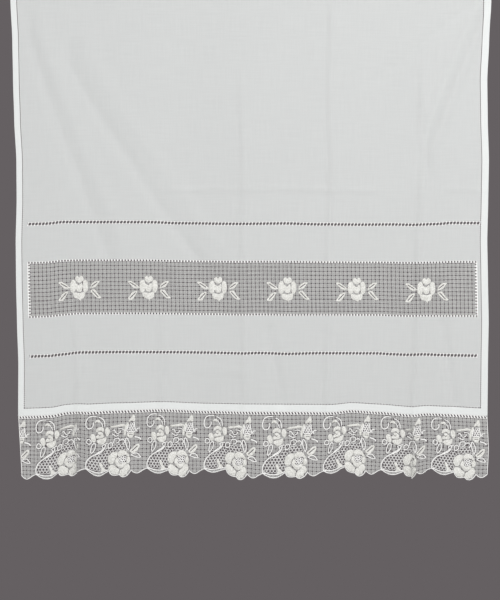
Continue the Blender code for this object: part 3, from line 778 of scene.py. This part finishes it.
def in_shape(outline, along, drop):
    """Which points lie inside an outline charted in millimetres."""
    along, drop = along / MM, drop / MM
    within = np.zeros(len(along), dtype=bool)
    for (start_along, start_drop), (end_along, end_drop) in zip(outline, outline[1:] + outline[:1]):
        if start_drop != end_drop:
            share = (drop - start_drop) / (end_drop - start_drop)
            crosses = (start_drop > drop) != (end_drop > drop)
            within ^= crosses & (along < start_along + share * (end_along - start_along))
    return within


def in_any(outlines, along, drop):
    return np.any([in_shape(outline, along, drop) for outline in outlines], axis=0)


def insert_net():
    """The insert's net, open behind its petals and leaves."""
    net = joined("insert_net", square_net(
        WINDOW_LEFT + SIDE_BORDER_LINES[-1], WINDOW_RIGHT - SIDE_BORDER_LINES[-1],
        WINDOW_HEAD + BORDER_LINES[-1], WINDOW_FOOT - BORDER_LINES[-1], seed=11, step=INSERT_NET_STEP,
    ))
    middles = face_middles(net)
    along = np.mod(middles[:, 0] - INSERT_FIRST + INSERT_PITCH / 2.0, INSERT_PITCH) - INSERT_PITCH / 2.0
    cut = in_any(INSERT_MOTIF + INSERT_LEAVES, along, -middles[:, 2] - INSERT_MIDDLE)
    cut &= middles[:, 0] < INSERT_FIRST + (INSERT_ROSES - 0.5) * INSERT_PITCH
    delete_faces(net, cut)
    return hang(net)


def rounded(points, closed, steps):
    """A smooth line through a few points, with a number of steps between each two."""
    points = np.array(points, dtype=float)
    count = len(points)
    line = []
    for index in range(count if closed else count - 1):
        picked = range(index - 1, index + 3)
        if closed:
            picked = [place % count for place in picked]
        else:
            picked = [min(max(place, 0), count - 1) for place in picked]
        before, start, end, after = points[picked]
        for step in range(steps):
            t = step / steps
            line.append(0.5 * (
                2.0 * start + (end - before) * t
                + (2.0 * before - 5.0 * start + 4.0 * end - after) * t * t
                + (3.0 * start - before - 3.0 * end + after) * t * t * t
            ))
    if not closed:
        line.append(points[-1])
    return np.array(line)


def scalloped(ring):
    """A closed line of points with small waves along it, as stitches leave at an edge."""
    ahead = np.roll(ring, -1, axis=0) - ring
    lengths = np.hypot(ahead[:, 0], ahead[:, 1])
    along = np.concatenate(([0.0], np.cumsum(lengths)[:-1]))
    waves = max(4, round(lengths.sum() / STITCH_WAVE_PITCH))
    tangent = np.roll(ring, -1, axis=0) - np.roll(ring, 1, axis=0)
    tangent = tangent / np.linalg.norm(tangent, axis=1)[:, None]
    sideways = np.stack([tangent[:, 1], -tangent[:, 0]], axis=1)
    return ring + sideways * (STITCH_WAVE * np.sin(math.tau * waves * along / lengths.sum()))[:, None]


def open_vein(piece, vein):
    """Cut a slit round a line out of a flat outline's only face."""
    outer = len(piece.data.vertices)
    edit(piece)
    bpy.ops.mesh.inset(thickness=VEIN_INSET, depth=0.0)
    bpy.ops.mesh.delete(type="ONLY_FACE")
    edited(piece)
    points = points_of(piece)
    start, end = [np.array((along * MM, -drop * MM)) for along, drop in vein]
    run = end - start
    for index in range(outer, len(points)):
        place = points[index, [0, 2]]
        nearest = start + run * np.clip(np.dot(place - start, run) / np.dot(run, run), 0.0, 1.0)
        away = place - nearest
        points[index, [0, 2]] = nearest + away * VEIN_HALF_WIDTH / np.linalg.norm(away)
    set_points(piece, points)


def pad(outline, inset=PAD_INSET, vein=None):
    """A closed area of solid stitching, raised in its middle."""
    ring = scalloped(rounded(outline, True, 5) * MM)
    bpy.ops.mesh.primitive_circle_add(vertices=len(ring), radius=0.01, fill_type="NGON")
    piece = bpy.context.object
    set_points(piece, np.stack([ring[:, 0], np.full(len(ring), 0.5 * PAD_THICK), -ring[:, 1]], axis=1))
    if vein:
        open_vein(piece, vein)
    edit(piece)
    extrude(0.0, -PAD_THICK, 0.0)
    bpy.ops.mesh.inset(thickness=inset, depth=0.0)
    bpy.ops.transform.translate(value=(0.0, -PAD_CROWN, 0.0))
    return edited(piece, outwards=True)


def cord(points, radius, closed=False, steps=3):
    """A round cord along a line of flat points, in millimetres."""
    line = rounded(points, closed, steps) * MM
    bpy.ops.curve.primitive_bezier_curve_add()
    curve = bpy.context.object.data
    spline = curve.splines[0]
    spline.bezier_points.add(len(line) - 2)
    spline.use_cyclic_u = closed
    for point, (along, drop) in zip(spline.bezier_points, line):
        point.co = (along, 0.0, -drop)
        point.handle_left_type = point.handle_right_type = "VECTOR"
    curve.resolution_u = 1
    curve.bevel_depth = radius
    curve.bevel_resolution = 1
    only(bpy.context.object)
    bpy.ops.object.convert(target="MESH")
    return bare(bpy.context.object)


def eyelet(along, drop, wide, tall, wall):
    """One small ring of the lace."""
    bpy.ops.mesh.primitive_torus_add(
        major_segments=6, minor_segments=4, major_radius=wide, minor_radius=wall,
        rotation=(math.pi / 2.0, 0.0, 0.0), location=(along, 0.0, -drop),
    )
    ring = bpy.context.object
    ring.scale = (1.0, tall / wide, EYELET_FLATNESS)
    return bare(ring)


def eyelets_in(outline, pitch, fall, radius, wall):
    """Rings in offset rows, kept where their middles lie inside an outline."""
    alongs, drops = zip(*outline)
    left, right, head, foot = [edge * MM for edge in (min(alongs), max(alongs), min(drops), max(drops))]
    rings = eyelet(left, head, radius, radius, wall)
    each = len(rings.data.polygons)
    repeated(rings, int((right - left) / pitch) + 2, (pitch, 0.0, 0.0))
    repeated(rings, 2, (pitch / 2.0, 0.0, -fall))
    repeated(rings, int((foot - head) / fall / 2.0) + 1, (0.0, 0.0, -2.0 * fall))
    middles = face_middles(rings).reshape(-1, each, 3).mean(axis=1)
    delete_faces(rings, np.repeat(~in_shape(outline, middles[:, 0], -middles[:, 2]), each))
    return rings


def along_lace(piece):
    """Repeat one repeat's work along the lace, from before its start to past its end."""
    set_points(piece, points_of(piece) - np.array((REPEATS_BEFORE * REPEAT, 0.0, 0.0)))
    return repeated(piece, REPEATS_DRAWN, (REPEAT, 0.0, 0.0))


def trimmed(piece):
    """Cut a piece of the edging off at the lace's two ends."""
    for place, normal, clear in (
        (LACE_START, (1.0, 0.0, END_LEAN), "clear_inner"), (LACE_END, (1.0, 0.0, 0.0), "clear_outer")
    ):
        edit(piece)
        bpy.ops.mesh.bisect(plane_co=(place, 0.0, 0.0), plane_no=normal, **{clear: True})
        edited(piece)
    return piece


def edging_motifs():
    """The roses, butterflies and leaves of solid stitching."""
    tip, wing, wing_foot, feeler = BUTTERFLY
    pieces = [pad(shape) for shape in SMALL_ROSE + BIG_ROSE + [tip, wing, feeler, COMMA_LEAF]]
    pieces += [pad(SPRIG, inset=SPRIG_INSET), pad(SIDE_LEAF, vein=SIDE_LEAF_VEIN)]
    pieces.append(pad(wing_foot, vein=WING_FOOT_VEIN))
    return hang_lace(trimmed(along_lace(joined("edging_motifs", pieces))))


def scallop_drop(along):
    """How far down the lace reaches at a place along it."""
    alongs, drops = zip(*SCALLOPS, (REPEAT / MM, SCALLOPS[0][1]))
    return np.interp(np.mod(along, REPEAT) / MM, alongs, drops) * MM


def near_cords(along, drop):
    """Which flat points lie close to a cord of the pattern."""
    places = np.concatenate([rounded(line.points, line.closed, 4) for line in LACE_CORDS]) * MM
    tree = KDTree(len(places))
    for index, (place_along, place_drop) in enumerate(places):
        tree.insert((place_along, place_drop, 0.0), index)
    tree.balance()
    return np.array([tree.find((a, d, 0.0))[2] < CORD_CLEAR for a, d in zip(along, drop)])


def edging_net():
    """The net of the edging, open where it is worked, and cut at the scallops and ends."""
    rows = square_net(
        LACE_START, LACE_END, HEADING_LINES[-1], LACE_DEPTH, seed=31, step=THREAD_STEP
    )
    for row in rows[2:]:
        middles = face_middles(row)
        delete_faces(row, near_cords(np.mod(middles[:, 0], REPEAT), -middles[:, 2]))
    net = joined("edging_net", rows)
    middles = face_middles(net)
    along, drop = middles[:, 0], -middles[:, 2]
    in_repeat = np.mod(along, REPEAT)
    cut = (drop > scallop_drop(along) - NET_SHORT) | (along < LACE_START + END_LEAN * drop)
    cut |= in_shape(LOBE_MESH, in_repeat - REPEAT, drop)
    cut |= in_any(
        SMALL_ROSE + BIG_ROSE + [LOBE_MESH, ROSE_HEART, WING_EYELETS, SIDE_LEAF], in_repeat, drop
    )
    delete_faces(net, cut)
    return hang_lace(net)


def edging_heading():
    """The strip along the lace's head, with its row of slanted holes."""
    ends = hole_ends(LACE_START + HEADING_SLANT / 2.0, LACE_END - HEADING_SLANT / 2.0)
    return hang_lace(strip("edging_heading", ends, HEADING_LINES, HEADING_SLANT))


def edging_cords():
    """The lines and eyelets worked on the edging's net, and the cords along its edges."""
    name = "edging_cords"
    pieces = [cord(line.points, line.radius * MM, line.closed) for line in LACE_CORDS]
    pieces += [eyelets_in(LOBE_MESH, *LOBE_RINGS), eyelets_in(WING_EYELETS, *WING_RINGS)]
    pieces += [eyelet(along * MM, drop * MM, *ROSE_RING) for along, drop in ROSE_EYELETS]
    work = along_lace(joined(name, pieces))
    rim = []
    for index in range(-REPEATS_BEFORE, REPEATS_DRAWN - REPEATS_BEFORE):
        rim += [(index * REPEAT / MM + along, drop) for along, drop in SCALLOPS]
    work = trimmed(joined(name, [work, cord(rim, RIM_RADIUS, steps=2)]))
    ends = []
    for place, lean in ((LACE_START, END_LEAN), (LACE_END, 0.0)):
        foot = scallop_drop(place + lean * LACE_DEPTH) / MM
        side = [(place / MM + lean * drop, drop) for drop in np.linspace(END_HEAD, foot, END_POINTS)]
        ends.append(cord(side, END_RADIUS, steps=1))
    return hang_lace(joined(name, [work] + ends))


def grown(outline, times):
    """An outline enlarged about its own middle."""
    middle = np.mean(outline, axis=0)
    return middle + (np.array(outline) - middle) * times


def insert_work():
    """The insert's six worked roses with their leaves."""
    pieces = [pad(grown(shape, PETAL_GROWTH)) for shape in INSERT_MOTIF]
    pieces += [pad(leaf, vein=vein) for leaf, vein in zip(INSERT_LEAVES, INSERT_VEINS)]
    work = joined("insert_work", pieces)
    set_points(work, points_of(work) + np.array((INSERT_FIRST, 0.0, -INSERT_MIDDLE)))
    return hang(repeated(work, INSERT_ROSES, (INSERT_PITCH, 0.0, 0.0)))


def finish_material(piece, material):
    piece.data.materials.clear()
    piece.data.materials.append(material)
    only(piece)
    bpy.ops.object.shade_smooth_by_angle(angle=SMOOTH_BELOW)


def linear(red, green, blue):
    """An sRGB colour of 0 to 255 as Blender's linear one."""
    def one(value):
        value /= 255.0
        return value / 12.92 if value <= 0.04045 else ((value + 0.055) / 1.055) ** 2.4
    return (one(red), one(green), one(blue), 1.0)


def node(tree, kind, inputs, **settings):
    """A new node, with its settings, and with values or other nodes' outputs in its inputs."""
    made = tree.nodes.new("ShaderNode" + kind)
    for name, value in settings.items():
        setattr(made, name, value)
    for name, value in inputs.items():
        if isinstance(value, bpy.types.NodeSocket):
            tree.links.new(value, made.inputs[name])
        else:
            made.inputs[name].default_value = value
    return made


def math_node(tree, operation, *values):
    return node(tree, "Math", dict(enumerate(values)), operation=operation).outputs["Value"]


def mapped(tree, value, limits):
    return node(tree, "MapRange", {"Value": value, **limits}).outputs["Result"]


def mixed(tree, share, first, second):
    """A colour between two others."""
    inputs = {"Factor": share, 6: first, 7: second}
    return node(tree, "Mix", inputs, data_type="RGBA").outputs[2]


def plain_material(name, colour, roughness):
    """A material, its node tree and its shader's inputs."""
    material = bpy.data.materials.new(name)
    material.use_nodes = True
    inputs = material.node_tree.nodes["Principled BSDF"].inputs
    inputs["Base Color"].default_value = colour
    inputs["Roughness"].default_value = roughness
    return material, material.node_tree, inputs


def group(name, inputs, outputs):
    """A node group with named inputs, as name, kind and value, and outputs, as name and kind."""
    tree = bpy.data.node_groups.new(name, "ShaderNodeTree")
    for socket, kind, value in inputs:
        made = tree.interface.new_socket(socket, in_out="INPUT", socket_type="NodeSocket" + kind)
        if value is not None:
            made.default_value = value
    for socket, kind in outputs:
        tree.interface.new_socket(socket, in_out="OUTPUT", socket_type="NodeSocket" + kind)
    return tree, tree.nodes.new("NodeGroupInput").outputs, tree.nodes.new("NodeGroupOutput").inputs


def weave_group():
    """The height of a plain weave, from lengths along the cloth in metres."""
    tree, given, result = group("plain_weave", [
        ("Lengths", "Vector", None), ("Threads a metre", "Float", THREADS_A_METRE),
    ], [("Height", "Float")])
    parts = node(tree, "SeparateXYZ", {"Vector": given["Lengths"]}).outputs
    turns = math_node(tree, "MULTIPLY", given["Threads a metre"], math.pi)
    waves = [
        math_node(tree, "SINE", math_node(tree, "MULTIPLY", parts[axis], turns)) for axis in ("X", "Y")
    ]
    crossing = math_node(tree, "MULTIPLY", *waves)
    tree.links.new(math_node(tree, "MULTIPLY_ADD", crossing, 0.5, 0.5), result["Height"])
    return tree


def slub_group():
    """Uneven threads of a cloth, across and down: low where they are thin, high where thick."""
    tree, given, result = group("slubs", [("Lengths", "Vector", None)], [("Slub", "Float")])
    rows = []
    for stretch in ((SLUB_LONG, SLUB_FINE, 1.0), (SLUB_FINE, SLUB_LONG, 1.0)):
        place = node(tree, "VectorMath", {0: given["Lengths"], 1: stretch}, operation="MULTIPLY")
        noise = {"Vector": place.outputs["Vector"], "Scale": 1.0, "Detail": 1.0}
        rows.append(node(tree, "TexNoise", noise).outputs["Fac"])
    spread = mapped(tree, math_node(tree, "ADD", *rows), {"From Min": 0.75, "From Max": 1.25})
    tree.links.new(spread, result["Slub"])
    return tree


def doubled_group():
    """Where the cloth is doubled into a hem: 1 there, and 0 in the single cloth."""
    tree, given, result = group("doubled_cloth", [("Lengths", "Vector", None)], [("Doubled", "Float")])
    parts = node(tree, "SeparateXYZ", {"Vector": given["Lengths"]}).outputs
    at_side, at_end = [
        math_node(
            tree, "MAXIMUM",
            math_node(tree, "LESS_THAN", parts[axis], start + HEM_REACH),
            math_node(tree, "GREATER_THAN", parts[axis], end - HEM_REACH),
        )
        for axis, start, end in (("X", FIELD_LEFT, FIELD_RIGHT), ("Y", TOP_HEM, FIELD_FOOT))
    ]
    tree.links.new(math_node(tree, "MAXIMUM", at_side, at_end), result["Doubled"])
    return tree


def mottle_and_shade_group():
    """Uneven light and dark of stitched cotton, with the height of its knots; the dark is painted
    shade, set where the knots are low.
    """
    tree, given, result = group("stitch_mottle_and_shade", [
        ("Place", "Vector", None), ("Stitches a metre", "Float", WORKED_COTTON.stitches),
        ("Light", "Color", WORKED_COTTON.light), ("Dark", "Color", WORKED_COTTON.dark),
    ], [("Color", "Color"), ("Height", "Float")])
    noise = {"Vector": given["Place"], "Scale": given["Stitches a metre"], "Detail": 1.5}
    knots = node(tree, "TexNoise", noise).outputs["Fac"]
    # The same noise gives the bump's height, so the dark colour is painted shade in the hollows between
    # knots
    spread = mapped(tree, knots, {"From Min": 0.34, "From Max": 0.62})
    tree.links.new(mixed(tree, spread, given["Dark"], given["Light"]), result["Color"])
    tree.links.new(spread, result["Height"])
    return tree


def added(tree, shared, inputs):
    """Place a shared node group in a material, with its own values."""
    return node(tree, "Group", inputs, node_tree=shared).outputs


def bumped(tree, shader, height, strength, distance):
    """Join a height to a material's shader as bump."""
    bump = node(tree, "Bump", {"Height": height, "Strength": strength, "Distance": distance})
    tree.links.new(bump.outputs["Normal"], shader["Normal"])


def voile_material():
    """Sheer woven cotton: see-through where it is single, and denser in its hems."""
    material, tree, shader = plain_material("voile", VOILE_COLOUR, roughness=0.85)
    lengths = {"Lengths": node(tree, "UVMap", {}, uv_map="flat").outputs["UV"]}
    weave = added(tree, weave_group(), lengths)
    doubled = added(tree, doubled_group(), lengths)
    slub = added(tree, slub_group(), lengths)["Slub"]
    tint = mixed(tree, slub, VOILE_THIN, VOILE_THICKER)
    density = mapped(tree, slub, {"To Min": 1.0 - SLUB_DENSITY, "To Max": 1.0 + SLUB_DENSITY})
    cover = mapped(tree, doubled["Doubled"], {"To Min": VOILE_COVER, "To Max": HEM_COVER})
    tree.links.new(tint, shader["Base Color"])
    tree.links.new(math_node(tree, "MULTIPLY", cover, density), shader["Alpha"])
    bumped(tree, shader, weave["Height"], strength=0.35, distance=0.0002)
    return material


def cotton_material(name, shared, cotton):
    """Cotton threads or stitches, a little light and dark, with painted shade in the low hollows of
    their bump.
    """
    material, tree, shader = plain_material(name, cotton.colour, roughness=0.9)
    mottle_and_shade = added(tree, shared, {
        "Place": node(tree, "TexCoord", {}).outputs["Object"], "Stitches a metre": cotton.stitches,
        "Light": cotton.light, "Dark": cotton.dark,
    })
    tree.links.new(mottle_and_shade["Color"], shader["Base Color"])
    bumped(tree, shader, mottle_and_shade["Height"], cotton.strength, cotton.height)
    return material


def placed(name, data, place, turn):
    item = bpy.data.objects.new(name, data)
    item.location = place
    item.rotation_euler = turn
    bpy.context.scene.collection.objects.link(item)
    return item


def camera():
    """Straight on, so that the photo's scale holds in the curtain's plane."""
    tall = PHOTO_TALL * PHOTO_MM_PER_PIXEL * MM
    data = bpy.data.cameras.new("camera")
    data.lens = data.sensor_width * CAMERA_AWAY / tall
    middle = (0.0, -CAMERA_AWAY, -(PHOTO_HEAD_DROP + tall / 2.0))
    bpy.context.scene.camera = placed("camera", data, middle, (math.pi / 2.0, 0.0, 0.0))


def area_light(name, place, size, power):
    data = bpy.data.lights.new(name, "AREA")
    data.size = size
    data.energy = power
    away = np.array(place) - np.array(LIGHTS_AIM)
    tip = math.atan2(math.hypot(away[0], away[1]), away[2])
    placed(name, data, place, (tip, 0.0, math.atan2(away[0], -away[1])))


def studio():
    """Soft light, a plain dark grey behind the sheer cloth, and a pale floor below the view."""
    world = bpy.data.worlds.new("studio")
    bpy.context.scene.world = world
    world.use_nodes = True
    tree = world.node_tree
    tree.nodes.clear()
    seen = node(tree, "Background", {"Color": linear(*BACKDROP)})
    soft = node(tree, "Background", {"Color": (1.0, 1.0, 1.0, 1.0), "Strength": SOFT_LIGHT})
    mix = node(tree, "MixShader", {
        "Fac": node(tree, "LightPath", {}).outputs["Is Camera Ray"],
        1: soft.outputs["Background"], 2: seen.outputs["Background"],
    })
    node(tree, "OutputWorld", {"Surface": mix.outputs["Shader"]})
    area_light("key", (1.3, -2.3, 0.7), size=1.2, power=45.0)
    area_light("fill", (-1.8, -2.4, -0.4), size=1.8, power=22.0)
    bpy.ops.mesh.primitive_plane_add(size=1.0, location=(0.0, 0.0, -FLOOR_DROP))
    floor = bpy.context.object
    floor.name = "floor"
    floor.scale = FLOOR_SIZE
    bare(floor)
    floor.data.materials.append(plain_material("floor", FLOOR_COLOUR, roughness=0.8)[0])
    bpy.context.scene.view_settings.view_transform = "Standard"


def main():
    bpy.ops.object.select_all(action="DESELECT")
    camera()
    studio()
    voile = voile_material()
    mottle_and_shade = mottle_and_shade_group()
    lace = cotton_material("lace", mottle_and_shade, LACE_COTTON)
    mesh = cotton_material("lace_net", mottle_and_shade, NET_COTTON)
    worked = cotton_material("worked_lace", mottle_and_shade, WORKED_COTTON)
    cloth = voile_cloth()
    stitches = hem_stitches()
    ladders = ladder_rows()
    net = insert_net()
    border = insert_border()
    roses = insert_work()
    edging = edging_net()
    heading = edging_heading()
    motifs = edging_motifs()
    cords = edging_cords()
    for piece, material, slot in (
        (cloth, voile, "voile"),
        (stitches, lace, "voile"),
        (ladders, lace, "voile"),
        (net, mesh, "lace"),
        (border, lace, "lace"),
        (roses, worked, "lace"),
        (edging, mesh, "lace"),
        (heading, lace, "lace"),
        (motifs, worked, "lace"),
        (cords, lace, "lace"),
    ):
        finish_material(piece, material)
        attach(piece, "root")
    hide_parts("voile_panel")
    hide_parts("lace_insert")
    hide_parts("lace_edging")


main()
